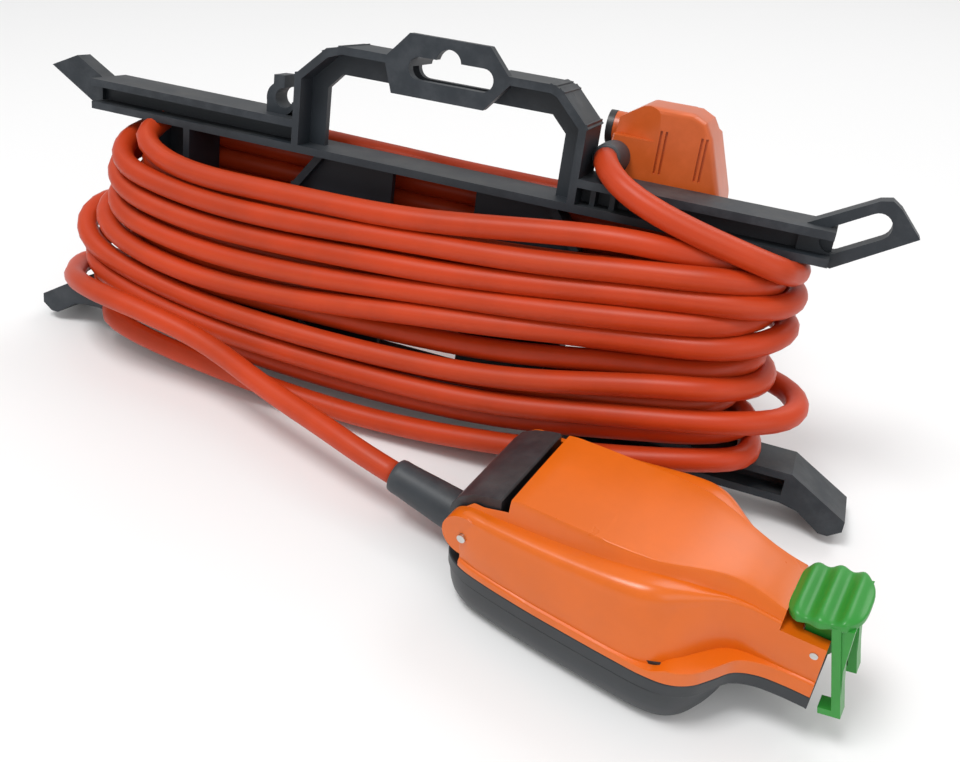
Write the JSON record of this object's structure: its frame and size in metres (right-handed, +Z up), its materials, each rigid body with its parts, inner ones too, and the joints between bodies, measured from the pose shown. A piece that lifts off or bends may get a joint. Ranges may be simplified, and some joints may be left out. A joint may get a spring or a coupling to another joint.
{
  "type": "extension cord",
  "caption": "Outdoor extension lead with a moulded cable carrier, wound flex, three-pin plug and a trailing socket with a hinged, latched weatherproof cover.",
  "frame": {"origin": "on the floor, under the middle of the trailing socket's underside", "axes": "+X along the socket's long axis towards its latched neck, +Y towards the cable carrier that stands behind it, +Z up"},
  "size_m": [0.3889, 0.1958, 0.1528],
  "materials": {
    "carrier_plastic": "fine moulded grain, charcoal grey",
    "flex_sheath": "satin orange-red flex sheath",
    "plug_plastic": "satin orange",
    "brass": "bright pressed brass",
    "black_plastic": "black moulded plastic",
    "fuse_ceramic": "off-white ceramic body",
    "white_plastic": "off-white moulded plastic",
    "steel": "zinc plated",
    "boot_rubber": "charcoal soft moulding",
    "core_green": "green and yellow core insulation",
    "core_brown": "brown core insulation",
    "core_blue": "blue core insulation",
    "base_plastic": "charcoal grey, slightly satin",
    "seal_rubber": "black soft seal",
    "cover_plastic": "glossy satin orange",
    "latch_plastic": "satin green"
  },
  "bodies": {
    "root": {"carrier_frame": "carrier_plastic", "cord_winding": "flex_sheath", "cord_to_socket": "flex_sheath", "cord_to_plug": "flex_sheath", "plug_shell": "plug_plastic", "plug_pin_plate": "plug_plastic", "plug_earth_pin": "brass", "plug_line_pins": "brass", "plug_pin_sleeves": "black_plastic", "plug_fuse": "fuse_ceramic", "plug_fuse_clips": "brass", "plug_fuse_carrier": "black_plastic", "plug_cord_grip": "white_plastic", "plug_grip_screws": "steel", "plug_boot": "boot_rubber", "plug_collar_ring": "black_plastic", "plug_shell_screw": "steel", "plug_cores": "core_green", "socket_tray": "base_plastic", "socket_underside": "base_plastic", "underside_screws": "steel", "tray_gasket": "seal_rubber", "socket_face": "base_plastic", "face_screws": "steel", "contact_block": "white_plastic", "live_contact": "brass", "neutral_contact": "brass", "earth_contact": "brass", "terminal_screws": "steel", "shutter_spring": "steel", "cord_clamp": "white_plastic", "clamp_screws": "steel", "socket_boot": "boot_rubber", "live_core": "core_brown", "neutral_core": "core_blue", "earth_core": "core_green", "neck_seal_lower": "seal_rubber", "hinge_pin": "steel"},
    "cover": {"weather_cover": "cover_plastic", "cover_seal": "seal_rubber", "neck_seal_upper": "seal_rubber", "latch_pin": "steel"},
    "latch": {"latch": "latch_plastic"},
    "shutter": {"shutter": "white_plastic"}
  },
  "joints": [
    {"name": "cover_hinge", "type": "hinge", "parent": "root", "child": "cover", "pos_m": [-0.036, 0, 0.034], "axis": [0, -1, 0], "range_deg": [0, 110]},
    {"name": "latch_hinge", "type": "hinge", "parent": "cover", "child": "latch", "pos_m": [0.074, 0, 0.0365], "axis": [0, 1, 0], "range_deg": [-10, 14]},
    {"name": "shutter_slide", "type": "slide", "parent": "root", "child": "shutter", "axis": [1, 0, 0], "range_m": [0, 0.006], "stiffness_N_per_m": 80, "springref_m": -0.003, "deforming": ["shutter_spring"]}
  ]
}
